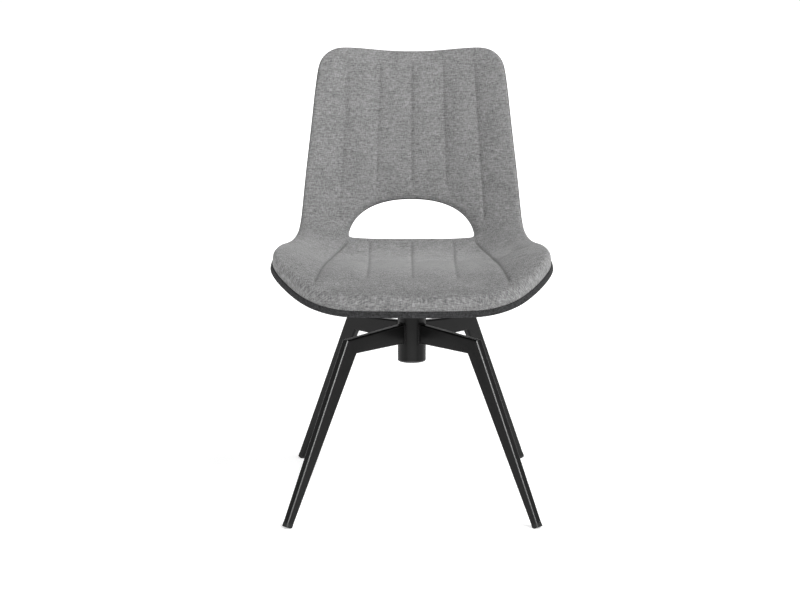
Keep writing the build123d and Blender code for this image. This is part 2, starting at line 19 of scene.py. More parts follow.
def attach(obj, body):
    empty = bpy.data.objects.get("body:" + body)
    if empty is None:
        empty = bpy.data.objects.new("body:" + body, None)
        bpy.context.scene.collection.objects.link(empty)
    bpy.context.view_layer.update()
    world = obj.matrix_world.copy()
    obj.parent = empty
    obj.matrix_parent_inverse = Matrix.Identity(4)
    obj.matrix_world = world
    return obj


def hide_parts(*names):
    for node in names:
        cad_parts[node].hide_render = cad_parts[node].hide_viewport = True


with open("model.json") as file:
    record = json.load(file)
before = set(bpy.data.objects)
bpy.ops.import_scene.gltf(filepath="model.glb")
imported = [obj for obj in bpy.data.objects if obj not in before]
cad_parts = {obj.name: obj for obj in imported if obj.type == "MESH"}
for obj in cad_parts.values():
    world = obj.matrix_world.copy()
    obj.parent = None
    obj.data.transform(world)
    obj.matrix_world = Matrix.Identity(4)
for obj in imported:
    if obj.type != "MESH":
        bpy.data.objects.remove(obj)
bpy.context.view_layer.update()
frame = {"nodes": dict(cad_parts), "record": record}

mm = 0.001

# %% [markdown]
# The camera comes first, because everything else is judged through it. The picture was taken
# from about 3 metres away with a long lens, a little above the seat and looking slightly down.
# The chair stands a little right of its middle. The camera could be turned for that, but
# a sideways shift of the sensor keeps it looking straight at the chair's front.

# %% Camera
image_width = 800
sensor_width_in_mm = 36.0
pixels_per_radian = 1588.0
swivel_axis_y = -0.035
camera_distance = 3.024
camera_height = 0.9537
camera_side = -0.015
camera_pitch = math.radians(10.68)
hub_pixels_right = 12.0


def placed(name, data):
    """A new object that shows some data, linked into the scene."""
    made = bpy.data.objects.new(name, data)
    bpy.context.scene.collection.objects.link(made)
    return made


camera_data = bpy.data.cameras.new("camera")
camera_data.sensor_width = sensor_width_in_mm
camera_data.lens = pixels_per_radian / image_width * sensor_width_in_mm
parallax = pixels_per_radian * camera_side / camera_distance
camera_data.shift_x = -(hub_pixels_right + parallax) / image_width
camera_data.clip_start = 0.05
camera_data.clip_end = 900
camera = placed("camera", camera_data)
camera.location = (camera_side, swivel_axis_y - camera_distance, camera_height)
camera.rotation_euler = (math.pi / 2 - camera_pitch, 0, 0)
bpy.context.scene.camera = camera
print("lens:", round(camera_data.lens, 2), "mm, shift:", round(camera_data.shift_x, 4))

# %% [markdown]
# Finishes and the room's light are written as small programs. `Value` wraps an output socket,
# so that `1 - mask` or `yarn * 0.4 + slub` adds the Math nodes by itself, and `Recipe.node`
# makes any other node from its type, its settings and what goes into its sockets. That keeps a
# node tree readable as a recipe, instead of as a page of node names and links.

# %% Node recipes
class Value:
    """An output socket; arithmetic with it adds Math nodes."""

    def __init__(self, recipe, socket):
        self.recipe, self.socket = recipe, socket

    def math(self, operation, first, second):
        """A Math node on two numbers or values."""
        return self.recipe.node("ShaderNodeMath", {"operation": operation}, {0: first, 1: second})

    def __add__(self, other):
        return self.math("ADD", self, other)

    def __radd__(self, other):
        return self.math("ADD", other, self)

    def __sub__(self, other):
        return self.math("SUBTRACT", self, other)

    def __rsub__(self, other):
        return self.math("SUBTRACT", other, self)

    def __mul__(self, other):
        return self.math("MULTIPLY", self, other)


class Recipe:
    """The node tree of a material or a world, written as an expression."""

    def __init__(self, owner):
        owner.use_nodes = True
        self.tree = owner.node_tree
        self.tree.nodes.clear()

    def node(self, kind, settings=None, inputs=None, output=0):
        """Adds a node: its settings first, then a value or a link for each named socket."""
        made = self.tree.nodes.new(kind)
        settings = dict(settings or {})
        stops = settings.pop("stops", [])
        for name, value in settings.items():
            setattr(made, name, value)
        for i, (place, shade) in enumerate(stops):
            elements = made.color_ramp.elements
            stop = elements[i] if i < 2 else elements.new(place)
            stop.position = place
            stop.color = (shade, shade, shade, 1)
        for name, value in (inputs or {}).items():
            if isinstance(value, Value):
                self.tree.links.new(value.socket, made.inputs[name])
            else:
                made.inputs[name].default_value = value
        return Value(self, made.outputs[output]) if len(made.outputs) else None

    def graded(self, value, stops):
        """A shade of grey that follows (value, shade) stops."""
        return self.node("ShaderNodeValToRGB", {"stops": stops}, {"Fac": value})


print("operators:", [name for name in vars(Value) if name.endswith(("add__", "sub__", "mul__"))])

# %% [markdown]
# The photographer's studio is a white sweep with large soft lights. The main light stands at
# the front on the right and high up: the right side of the back turns away from it and falls
# into a soft shade, and each sewn channel shows one bright and one dark side. It is a sun lamp
# with a very wide disc, so its shadows are as soft as a big light box makes them and the floor
# is equally white everywhere. A strip above the camera draws the thin bright line that runs
# down the corner of each black leg; only gloss shows it, so the fabric doesn't go flat from it.
# The room itself is white up to a little above the horizon, as in the picture, and half as
# bright higher up, so that the main light still shapes the pad.

# %% Studio
def lamp(name, kind, place, aim, **settings):
    """A lamp at a place, pointed at another."""
    data = bpy.data.lights.new(name, kind)
    for setting, value in settings.items():
        setattr(data, setting, value)
    made = placed(name, data)
    made.location = place
    made.rotation_euler = (Vector(aim) - Vector(place)).to_track_quat("-Z", "Y").to_euler()
    return made


# (climb of a direction, from 0 at the horizon to 1 overhead; brightness)
room_glow = [(0.14, 1.05), (0.34, 0.52)]

lamp("main_light", "SUN", (2.4, -1.35, 3.4), (0, 0, 0.5), energy=2.1, angle=math.radians(38))
front_strip = lamp("front_strip", "AREA", (0.0, -3.4, 1.75), (0, 0, 0.3),
                   shape="RECTANGLE", size=4.5, size_y=0.8, energy=760)
front_strip.visible_diffuse = False

world = bpy.data.worlds.new("white_studio")
room = Recipe(world)
direction = room.node("ShaderNodeTexCoord", output="Generated")
upward = room.node("ShaderNodeSeparateXYZ", {}, {0: direction}, output="Z")
glow = room.graded(upward, room_glow)
background = room.node("ShaderNodeBackground", {}, {"Color": glow})
room.node("ShaderNodeOutputWorld", {}, {"Surface": background})
bpy.context.scene.world = world
bpy.context.scene.view_settings.view_transform = "Standard"

# %% [markdown]
# Every real finish varies a little from place to place, and that keeps it from looking like
# flat paint. `cloudy` gives this variation at a real size, such as the length of a fleck
# in a yarn. `blended` turns it into colour, `raised` into relief, and `surface` is the shader.
# An image could do the same, but a computed pattern never repeats and stays sharp.

# %% Tools for finishes
class Finish(Recipe):
    """A material that is written as an expression."""

    def __init__(self, name):
        self.material = bpy.data.materials.new(name)
        super().__init__(self.material)

    def on_piece(self):
        """The place on the piece itself, in metres."""
        return self.node("ShaderNodeTexCoord", output="Object")

    def stretched(self, place, sizes):
        """A place counted in units of a given size along each direction."""
        sizes = sizes if isinstance(sizes, tuple) else (sizes,) * 3
        return self.node("ShaderNodeVectorMath", {"operation": "DIVIDE"}, {0: place, 1: sizes})

    def cloudy(self, place, sizes, detail=2.0, roughness=0.5):
        """Soft random variation from 0 to 1, with blotches of a real size."""
        inputs = {"Vector": self.stretched(place, sizes), "Scale": 1.0, "Detail": detail,
                  "Roughness": roughness}
        return self.node("ShaderNodeTexNoise", {"noise_dimensions": "3D"}, inputs)

    def blended(self, share, first, second):
        """One colour turning into another; sockets 6, 7 and 2 are a Mix node's colours."""
        return self.node("ShaderNodeMix", {"data_type": "RGBA"}, {0: share, 6: first, 7: second}, 2)

    def raised(self, height, depth, strength=1.0):
        """A surface normal from a height of 0 to 1 and the real depth that it stands for."""
        inputs = {"Height": height, "Distance": depth, "Strength": strength}
        return self.node("ShaderNodeBump", {}, inputs)

    def surface(self, **sockets):
        """The finished material, from named sockets of the Principled BSDF."""
        named = {name.replace("_", " "): value for name, value in sockets.items()}
        shader = self.node("ShaderNodeBsdfPrincipled", {}, named)
        self.node("ShaderNodeOutputMaterial", {}, {"Surface": shader})
        return self.material


def grey(value, tint=(1.0, 1.0, 1.0)):
    """A colour of one brightness with a slight tint."""
    return tuple(value * t for t in tint) + (1.0,)


print("a cold dark grey:", grey(0.05, (0.98, 0.99, 1.03)))

# %% [markdown]
# The front fabric is a plain weave of mixed yarns: each thread is twisted from pale and dark
# fibres, so the cloth looks like fine salt and pepper with short streaks along both threads.
# The pattern follows the cloth and not the room, so every point of the pad carries its place
# in the flat pattern (`cloth_place`), as if the fabric still lay on the cutting table.
# Bump gives the yarns their relief, because a mesh couldn't hold anything so fine.
# The dark cover is a finer weave by the same recipe.
#
# The seat isn't equally grey all over. Light and shade are painted into its colour: a paler, smoother
# band on the flat of the seat, a slightly paler middle at the front, and a darker rolled front edge.
# Towards the front edge its grain shows coarser. These are soft zones along the cloth, given in metres
# from the front edge. Deep in a seam the cloth gets little light, so the pad also carries a painted
# seam shade, which darkens it there. The dark cover has no seams and no such zones.

# %% Zones of the seat's fabric
# (metres along the cloth, strength); the middle's runs over the square of the place across,
# so that it is the same on both sides.
front_roll = [(0.03, 1.0), (0.07, 0.0)]
seat_front = [(0.02, 0.0), (0.08, 0.8), (0.13, 1.0), (0.2, 1.0), (0.36, 0.0)]
painted_light_band = [(0.15, 0.0), (0.31, 1.0), (0.38, 1.0), (0.46, 0.0)]
middle_by_square = [(0.006, 1.0), (0.026, 0.0)]
coarse_in_front, stronger_in_front, smoother_in_band = 0.42, 0.2, 0.25
# Painted light on the flat band and the front's middle, painted shade on the rolled front edge.
painted_light_in_band, painted_light_in_middle, painted_light_in_front, painted_shade_on_roll = 0.19, 0.14, 0.05, 0.08


def seat_grain_and_painted_light(cloth, place, grain, coarse):
    """The seat's grain, with painted light on its flat band and front and painted shade on its rolled
    edge.
    """
    across = cloth.node("ShaderNodeSeparateXYZ", {}, {0: place}, output="X")
    along = cloth.node("ShaderNodeSeparateXYZ", {}, {0: place}, output="Y")
    roll, front, band = [cloth.graded(along, zone) for zone in (front_roll, seat_front, painted_light_band)]
    middle = cloth.graded(across * across, middle_by_square)
    grain = grain + (coarse - 0.5) * front * coarse_in_front
    grain = grain * (1.0 + front * stronger_in_front - band * smoother_in_band)
    # Painted light on the band and the front, painted shade on the rolled front edge.
    painted_light_and_shade = band * (middle * painted_light_in_middle + painted_light_in_band)
    painted_light_and_shade = painted_light_and_shade + front * middle * painted_light_in_front - roll * painted_shade_on_roll
    return grain, painted_light_and_shade


# The pale band is painted light on the flat of the seat.
print("paler where people sit:", [round(place / mm) for place, _ in painted_light_band], "mm from the front")

# %% [markdown]
# The weave itself has two layers. `fibres` are the flecks of pale and dark fibre, long along a
# thread and about as narrow as one; `wave` is the rise and fall of yarns that lie side by side,
# and only the relief uses it. Slubs and blotches make larger, weaker differences.

# %% Woven fabrics
# Sizes across, along and through the cloth; those of the flecks are counted in yarns.
weft_fleck, warp_fleck, coarse_fleck = (7.5, 1.3, 2), (1.3, 7.5, 2.6), (1.5, 11, 3)
slub_size, blotch_size, wander_size = (30 * mm, 3.4 * mm, 10 * mm), 50 * mm, 12 * mm
weft_share, warp_share, slub_share, blotch_share = 0.55, 0.45, 0.5, 0.22
darkest_mix, palest_mix = 0.12, 0.88
seam_shade = 0.65
wave_once_a_unit = 0.314


def woven(name, dark, pale, yarn, contrast, relief, shine, seat_zones):
    """A mélange weave of two shades, on yarns of a real width."""
    cloth = Finish(name)
    place = cloth.node("ShaderNodeAttribute", {"attribute_name": "cloth_place"}, output="Vector")
    wander = cloth.cloudy(place, wander_size, 1.0) * (yarn * 0.9)
    threads = cloth.node("ShaderNodeVectorMath", {"operation": "ADD"}, {0: place, 1: wander})

    def fibres(sizes):
        """Flecks of mixed fibres."""
        return cloth.cloudy(threads, tuple(yarn * size for size in sizes), 2.0, 0.6)

    def wave(direction):
        """Yarns side by side, as a rise and fall from 0 to 1."""
        inputs = {"Vector": cloth.stretched(threads, yarn * 2), "Scale": wave_once_a_unit,
                  "Distortion": 0.6, "Detail": 1.0}
        return cloth.node("ShaderNodeTexWave", {"bands_direction": direction}, inputs)

    weft, warp = fibres(weft_fleck), fibres(warp_fleck)
    grain, painted_light_and_shade = weft * weft_share + warp * warp_share - 0.5, 0.0
    if seat_zones:
        grain, painted_light_and_shade = seat_grain_and_painted_light(cloth, place, grain, fibres(coarse_fleck))
    slub = cloth.cloudy(place, slub_size) - 0.5
    blotch = cloth.cloudy(place, blotch_size) - 0.5
    # The seat's zones add their painted light and painted shade to the mix here; the cover adds none.
    mixed = grain * contrast + 0.5 + painted_light_and_shade + slub * slub_share + blotch * blotch_share
    # Painted shade along the seams: this darkens the cloth by how deep each seam pulls it in.
    seam = cloth.node("ShaderNodeAttribute", {"attribute_name": "painted_seam_shade"}, output="Fac")
    limits = {"Value": mixed, "From Min": darkest_mix, "From Max": palest_mix}
    shade = cloth.node("ShaderNodeMapRange", {"clamp": True}, limits)
    height = wave("X") * wave("Y") * 0.6 + weft * 0.5 + warp * 0.5
    return cloth.surface(
        Base_Color=cloth.blended(shade * (1.0 - seam * seam * seam_shade), dark, pale),
        Roughness=0.92,
        Specular_IOR_Level=shine,
        Sheen_Weight=shine * 0.25,
        Sheen_Roughness=0.45,
        Normal=cloth.raised(height, relief),
    )


front_fabric = woven(
    "grey_melange", dark=grey(0.085), pale=grey(0.33), yarn=1.05 * mm, contrast=2.35,
    relief=0.5 * mm, shine=0.22, seat_zones=True)
cover_fabric = woven(
    "charcoal_weave", dark=grey(0.010), pale=grey(0.046, (0.98, 0.99, 1.03)), yarn=0.9 * mm,
    contrast=3.8, relief=0.3 * mm, shine=0.08, seat_zones=False)
print("fabrics:", front_fabric.name, cover_fabric.name)

# %% [markdown]
# The base is welded from steel tube and powder coated: a black, satin film with a very fine
# orange-peel surface. Its colour alone would look like ink. The fine bump matters more here,
# because it breaks up the long highlights on the flat sides of the legs.

# %% Powder coat
def powder_coat(name, shade, roughness):
    """Satin powder coat with its fine orange peel."""
    coat = Finish(name)
    peel = coat.cloudy(coat.on_piece(), 1.1 * mm, 1.0)
    drift = coat.cloudy(coat.on_piece(), 30 * mm)
    return coat.surface(
        Base_Color=coat.blended(drift, grey(shade * 0.85), grey(shade * 1.2)),
        Roughness=(drift - 0.5) * 0.12 + roughness,
        Specular_IOR_Level=0.14,
        Normal=coat.raised(peel, 0.06 * mm, 0.6),
    )


finishes = {"black_steel": powder_coat("powder_coat", 0.005, 0.3)}
print("coat:", finishes["black_steel"].name)

# %% [markdown]
# The hidden and small pieces get the finish that each has in a chair: zinc on screws, nuts and
# the spindle, natural nylon for the bushes, moulded plastic for caps and glides, and beech ply.
# The three plastics share one function, because only their colour and gloss differ.

# %% Small finishes
def moulded_plastic(name, shade, tint, roughness, shine=0.5):
    """Matt moulded plastic with a fine spark-eroded texture."""
    plastic = Finish(name)
    grain = plastic.cloudy(plastic.on_piece(), 0.7 * mm, 1.0)
    drift = plastic.cloudy(plastic.on_piece(), 12 * mm, 1.0)
    return plastic.surface(
        Base_Color=plastic.blended(drift, grey(shade * 0.92, tint), grey(shade * 1.08, tint)),
        Roughness=(grain - 0.5) * 0.1 + roughness,
        Specular_IOR_Level=shine,
        Normal=plastic.raised(grain, 0.05 * mm, 0.5),
    )


def zinc_plate(name):
    """Bright zinc on steel, with faint turning marks round each piece."""
    zinc = Finish(name)
    marks = zinc.cloudy(zinc.on_piece(), (20 * mm, 20 * mm, 0.4 * mm), 1.0)
    stain = zinc.cloudy(zinc.on_piece(), 6 * mm, 3.0)
    warm, cool = grey(0.42, (1.0, 0.99, 0.96)), grey(0.62, (0.98, 1.0, 1.02))
    return zinc.surface(
        Base_Color=zinc.blended(stain, warm, cool),
        Metallic=1.0,
        Roughness=stain * 0.18 + 0.26,
        Normal=zinc.raised(marks, 0.03 * mm, 0.4),
    )


def beech_ply(name):
    """Raw beech plywood: thin plies at the edge and long grain on the faces."""
    wood = Finish(name)
    grain = wood.cloudy(wood.on_piece(), (1.2 * mm, 50 * mm, 1.2 * mm), 3.0)
    plies = wood.cloudy(wood.on_piece(), (200 * mm, 200 * mm, 1.5 * mm), 0.0)
    dark, pale = (0.33, 0.2, 0.1, 1), (0.55, 0.38, 0.22, 1)
    return wood.surface(
        Base_Color=wood.blended(grain * 0.6 + plies * 0.4, dark, pale),
        Roughness=0.7,
        Normal=wood.raised(grain, 0.1 * mm, 0.5),
    )


finishes.update({
    "plain_steel": zinc_plate("zinc_plate"),
    "foot_plastic": moulded_plastic("foot_plastic", 0.012, (1, 1, 1), 0.6, 0.15),
    "black_plastic": moulded_plastic("black_plastic", 0.016, (1, 1, 1), 0.45),
    "nylon": moulded_plastic("nylon", 0.6, (1.0, 0.98, 0.92), 0.4),
    "plywood": beech_ply("beech_ply"),
})
finished = [part for part in frame["record"]["subparts"] if part["material_slot"] in finishes]
for part in finished:
    mesh = frame["nodes"][part["node"]].data
    mesh.materials.clear()
    mesh.materials.append(finishes[part["material_slot"]])
print("finished CAD nodes:", len(finished))

# %% [markdown]
# The real bucket is bent plywood: a flat seat, a round turn and a slightly hollow back, with
# sides that rise like a shallow bowl. The fabric pieces need the same form. It could be read
# from the CAD mesh, but a formula gives it at any point, and its sizes can be read here.

# %% Form of the bucket
seat_underside_z = 394 * mm
seat_front_reach = 235 * mm
flat_run = 330 * mm
turn_radius = 150 * mm
turn_angle = math.radians(75)
back_curve_radius = 3000 * mm
half_widths = np.array([(0, 250), (248, 275), (430, 242), (505, 229), (883, 194)]) * mm
side_rises = np.array([(0, 39), (248, 47), (430, 46), (505, 42), (600, 38), (883, 38)]) * mm
flat_share_of_seat = 0.45
flat_share_of_back = 0.12
flat_share_change = 250 * mm
side_lean_share = 0.4


def soft_step(share):
    """An S-curve from 0 to 1."""
    share = np.clip(share, 0, 1)
    return share * share * (3 - 2 * share)


def cubic(first, rise, start, end, t):
    """The smooth way from a first value over a rise, with given slopes at both ends."""
    return first + t * (start + t * (3 * rise - 2 * start - end + t * (start + end - 2 * rise)))


def through(stations, place):
    """The value at each place on a smooth line through stations of (place, value)."""
    places, values = stations.T
    order = np.arange(len(places))
    low, high = np.maximum(order - 1, 0), np.minimum(order + 1, len(places) - 1)
    slopes = (values[high] - values[low]) / (places[high] - places[low])
    i = np.clip(np.searchsorted(places, place, side="right") - 1, 0, len(places) - 2)
    span = places[i + 1] - places[i]
    t = (place - places[i]) / span
    return cubic(values[i], values[i + 1] - values[i], slopes[i] * span, slopes[i + 1] * span, t)


def middle_line(along):
    """y, z and angle of the middle line: flat seat, round turn, slightly curved back."""
    angle = np.clip((along - flat_run) / turn_radius, 0, turn_angle)
    back = turn_angle + np.maximum(along - flat_run - turn_radius * turn_angle, 0) / back_curve_radius
    y = np.minimum(along, flat_run) - seat_front_reach
    y = y + turn_radius * np.sin(angle) + back_curve_radius * (np.sin(back) - np.sin(turn_angle))
    z = seat_underside_z + turn_radius * (1 - np.cos(angle))
    z = z + back_curve_radius * (np.cos(turn_angle) - np.cos(back))
    return y, z, np.where(back > turn_angle, back, angle)


print("height of the back's end:", middle_line(half_widths[-1:, 0])[1].round(3))

# %% [markdown]
# An upholsterer cuts the cover flat and pulls it over the form. The next cells do the same: the
# outline, the opening and the seams are drawn flat, as `across` (from the middle line) and
# `along` (from the front edge, over the seat and up the back), and `seat_place` then bends any
# flat place onto the bucket. Working flat keeps seams straight where the real ones are straight.

# %% Bend the flat pattern onto the bucket
def seat_place(across, along, height):
    """Points in space for flat places, at heights over the underside."""
    y, z, angle = middle_line(along)
    share = soft_step((along - flat_run) / flat_share_change)
    flat = flat_share_of_seat + (flat_share_of_back - flat_share_of_seat) * share
    half, rise = through(half_widths, along), through(side_rises, along)
    beyond = np.maximum(np.abs(across) / half - flat, 0) / (1 - flat)
    slope = np.arctan(2 * rise * beyond / (1 - flat) / half)
    lean = side_lean_share * slope
    height = height / np.cos(slope - lean)
    up = rise * beyond ** 2 + height * np.cos(lean)
    x = across - np.sign(across) * height * np.sin(lean)
    return np.stack([x, y - up * np.sin(angle) + swivel_axis_y, z + up * np.cos(angle)], axis=-1)


print("middle of the front edge:", seat_place(*np.zeros((3, 1))).round(3))

# %% [markdown]
# The outline is one smooth curve through a few measured places, square to the middle line at
# both ends. A clamped cubic spline does that: it solves for the slopes that make the curve's
# bending continuous. Evenly spaced points are then taken from it, about as far apart as the
# pad's mesh needs them. The opening has small round corners below, and its arch is a little
# fuller than half an ellipse.

# %% Outline and opening
fine_steps, corner_steps, arch_steps = 40, 12, 90
rim_spacing = 5.5 * mm
opening_spacing = 4.5 * mm
opening_top_at = 571 * mm
opening_lip_at = 473 * mm
opening_half_width = 130 * mm
opening_corner = 8 * mm
arch_power = 2 / 2.25


def length_along(line):
    """How far each point of a line lies along it."""
    return np.concatenate([[0], np.cumsum(np.linalg.norm(np.diff(line, axis=0), axis=1))])


def smooth_curve(points, first_way, last_way):
    """Fine points on a cubic spline with given directions at both ends."""
    points = np.array(points, float)
    step = np.diff(length_along(points))
    count = len(points)
    system, known = np.eye(count), np.zeros((count, 2))
    known[0], known[-1] = first_way, last_way
    for i in range(1, count - 1):
        system[i, i - 1:i + 2] = step[i], 2 * (step[i - 1] + step[i]), step[i - 1]
        before = (points[i] - points[i - 1]) / step[i - 1]
        after = (points[i + 1] - points[i]) / step[i]
        known[i] = 3 * (step[i] * before + step[i - 1] * after)
    ways = np.linalg.solve(system, known)
    t = np.linspace(0, 1, fine_steps, endpoint=False)[:, None]
    fine = [cubic(points[i], points[i + 1] - points[i], ways[i] * step[i], ways[i + 1] * step[i], t)
            for i in range(count - 1)]
    return np.vstack(fine + [points[-1:]])


def evenly_spaced(line, spacing):
    """Points along a line, about one spacing apart, both ends kept."""
    length = length_along(line)
    count = max(int(round(length[-1] / spacing)), 1)
    at = np.linspace(0, length[-1], count + 1)
    return np.stack([np.interp(at, length, line[:, k]) for k in (0, 1)], axis=1)


def closed_loop(right_half):
    """A loop from its right half, which runs from the middle line to the middle line."""
    return np.vstack([right_half, right_half[-2:0:-1] * [-1, 1]])


rim_points = np.array([
    (0, 0), (155, 21), (192, 45), (217, 80), (242, 132), (263, 190), (275, 248), (267, 335),
    (245, 415), (229, 500), (219, 600), (204, 740), (194, 826), (182, 863), (160, 879),
    (130, 883), (60, 879), (0, 877),
]) * mm
rim_line = smooth_curve(rim_points, (1, 0), (-1, 0))

arch_base = opening_lip_at + opening_corner
corner_angles = np.linspace(-math.pi / 2, 0, corner_steps)
corner_middle = np.array([opening_half_width - opening_corner, arch_base])
corner_circle = np.stack([np.cos(corner_angles), np.sin(corner_angles)], axis=1)
arch_angles = np.linspace(0, math.pi / 2, arch_steps)[1:]
arch_line = np.stack([
    opening_half_width * np.cos(arch_angles) ** arch_power,
    arch_base + (opening_top_at - arch_base) * np.sin(arch_angles) ** arch_power,
], axis=1)
opening_line = np.vstack([
    [[0, opening_lip_at]], corner_middle + opening_corner * corner_circle, arch_line])
opening_line[-1, 0] = 0
rim_loop = closed_loop(evenly_spaced(rim_line, rim_spacing))
opening_loop = closed_loop(evenly_spaced(opening_line, opening_spacing))[::-1]
print("outline:", len(rim_loop), "points, opening:", len(opening_loop), "points")

# %% [markdown]
# Three kinds of seam run over the pad: straight channels that fan out with the taper of the
# back, three short channels on the seat that fade towards the front, and one curved seam on
# each side, where the seat's middle panel meets the panel that flows down from the back. Each
# is a line on the flat pattern; a groove cut into the finished surface would lack its puckers.

# %% Seams
channel_top = 859 * mm
channel_foot = opening_top_at + 10 * mm
outer_channel_foot = 505 * mm
seat_channel_front = 150 * mm
seat_channel_rear = opening_lip_at - 12 * mm
seat_channel_side = 86 * mm
channel_steps = 60
seam_spacing = 5 * mm
side_seam_points = np.array([
    (183, 62), (183, 90), (182, 144), (180, 210), (177, 270), (168, 350), (158, 388),
    (144, 420), (130, 457),
]) * mm


def back_seam(number):
    """A channel of the back, at a third of the half width for each number."""
    foot = channel_foot if number < 2 else outer_channel_foot
    along = np.linspace(foot, channel_top, channel_steps)
    return np.stack([number / 3 * through(half_widths, along), along], axis=1)


def seat_seam(across):
    """A channel of the seat, from where it fades at the front to the opening's lip."""
    return np.array([(across, seat_channel_front), (across, seat_channel_rear)])


side_seam = smooth_curve(side_seam_points, (0, 1), (-0.3, 1))
right_seams = [back_seam(1), back_seam(2), seat_seam(seat_channel_side), side_seam]
seams = [back_seam(0), seat_seam(0.0)] + right_seams + [seam * [-1, 1] for seam in right_seams]
seam_lines = [evenly_spaced(seam, seam_spacing) for seam in seams]
print("seams:", len(seams))

# %% [markdown]
# A few flat measures come up often: what lies inside the outline, how far it is to an
# edge or a seam, and which way leads away from it. The pad's height, its seams and its mesh all
# follow from them, so they are worked out here for whole arrays of points. The rim runs
# anticlockwise and the opening clockwise, so that `outward` leads off the cloth at both.

# %% Flat measures
tiny, far = 1e-9, 1e9


def inside(points, loop):
    """Which points lie inside a closed loop, by counting crossings."""
    x, y = points[:, 0:1], points[:, 1:2]
    ax, ay = loop[:, 0], loop[:, 1]
    bx, by = np.roll(ax, -1), np.roll(ay, -1)
    crosses = (ay > y) != (by > y)
    with np.errstate(divide="ignore", invalid="ignore"):
        hits = crosses & (x < (bx - ax) * (y - ay) / (by - ay) + ax)
    return hits.sum(axis=1) % 2 == 1


def distance_to(points, line, closed):
    """Distance from each point to a line, and how far along the line its nearest point is."""
    starts = line if closed else line[:-1]
    ends = np.roll(line, -1, axis=0) if closed else line[1:]
    ways = ends - starts
    lengths = np.maximum(np.linalg.norm(ways, axis=1), tiny)
    before = np.concatenate([[0], np.cumsum(lengths)[:-1]])
    best, at = np.full(len(points), far), np.zeros(len(points))
    for start, way, length, first in zip(starts, ways, lengths, before):
        share = np.clip(((points - start) @ way) / length ** 2, 0, 1)
        gap = np.linalg.norm(points - start - share[:, None] * way, axis=1)
        nearer = gap < best
        best[nearer], at[nearer] = gap[nearer], (first + share * length)[nearer]
    return best, at


def square_to(ways):
    """Unit vectors at right angles to some directions, on their right."""
    side = np.stack([ways[:, 1], -ways[:, 0]], axis=1)
    return side / np.linalg.norm(side, axis=1, keepdims=True)


def outward(loop):
    """Unit vectors square to a loop: out of one that runs anticlockwise, into another."""
    return square_to(np.roll(loop, -1, axis=0) - np.roll(loop, 1, axis=0))


lip_gap = distance_to(np.array([[0.0, 0.0]]), opening_loop, True)[0][0]
print("from the front edge to the opening:", round(lip_gap / mm), "mm")

# %% [markdown]
# The flat pattern becomes a mesh of triangles. Points lie along every edge and seam, in rows
# beside them where the surface bends most, and on a loose honeycomb in between. A Delaunay
# triangulation joins them, and it is told to keep the edges and seams as edges of the mesh, so
# a seam is a real line of edges. A grid of quads would need far more faces to be as sharp there.

# %% Flat pattern
seam_point_gap = 1.5 * mm
smallest_gap = 1.6 * mm
largest_row_gap = 3.4 * mm
row_gap_share = 0.55
honeycomb_gap_share = 0.72
honeycomb_row = 0.866
whole_hull, same_place = 0, 1e-6
front_spacing = 7.5 * mm
front_edge_rows = [row * mm for row in (2, 5, 9, 13.5, 18.5, 25)]
front_seam_rows = [row * mm for row in (2.2, 5.5)]


class Points:
    """Flat points that keep their distance from one another, sorted into small cells."""

    def __init__(self):
        self.places, self.cells, self.cell_size = [], {}, 2 * mm

    def cell(self, place):
        """The small square cell that a place lies in."""
        return int(place[0] // self.cell_size), int(place[1] // self.cell_size)

    def near(self, place, gap):
        """Whether a point lies closer to a place than a gap."""
        reach = int(gap / self.cell_size) + 1
        cx, cy = self.cell(place)
        for i in range(cx - reach, cx + reach + 1):
            for j in range(cy - reach, cy + reach + 1):
                for k in self.cells.get((i, j), ()):
                    if math.dist(self.places[k], place) < gap:
                        return True
        return False

    def add(self, place, gap=0.0):
        """Adds a point and returns its number, or None where another is too near."""
        if gap and self.near(place, gap):
            return None
        number = len(self.places)
        self.places.append((float(place[0]), float(place[1])))
        self.cells.setdefault(self.cell(place), []).append(number)
        return number


def staggered(row, number, closed):
    """Every other row moves on by half a step, so that the triangles come out even."""
    if number % 2:
        return row
    halfway = (row + np.roll(row, -1, axis=0)) / 2
    return halfway if closed else halfway[:-1]


def row_beside(line, closed, number, row):
    """(points, gap) at one distance on the cloth's side of a loop, or on both sides of a line."""
    away = -outward(line) if closed else square_to(np.gradient(line, axis=0))
    gap = min(row_gap_share * row, largest_row_gap)
    sides = (1,) if closed else (-1, 1)
    return [(staggered(line + away * row * side, number, closed), gap) for side in sides]


def honeycomb(low, high, spacing):
    """(points, gap) for rows of a honeycomb that is even to the left and right."""
    for j, y in enumerate(np.arange(low[1], high[1], spacing * honeycomb_row)):
        x = np.arange(spacing * (0.5 if j % 2 else 0), high[0], spacing)
        x = np.unique(np.concatenate([-x, x]))
        yield np.stack([x, np.full(len(x), y)], axis=1), honeycomb_gap_share * spacing


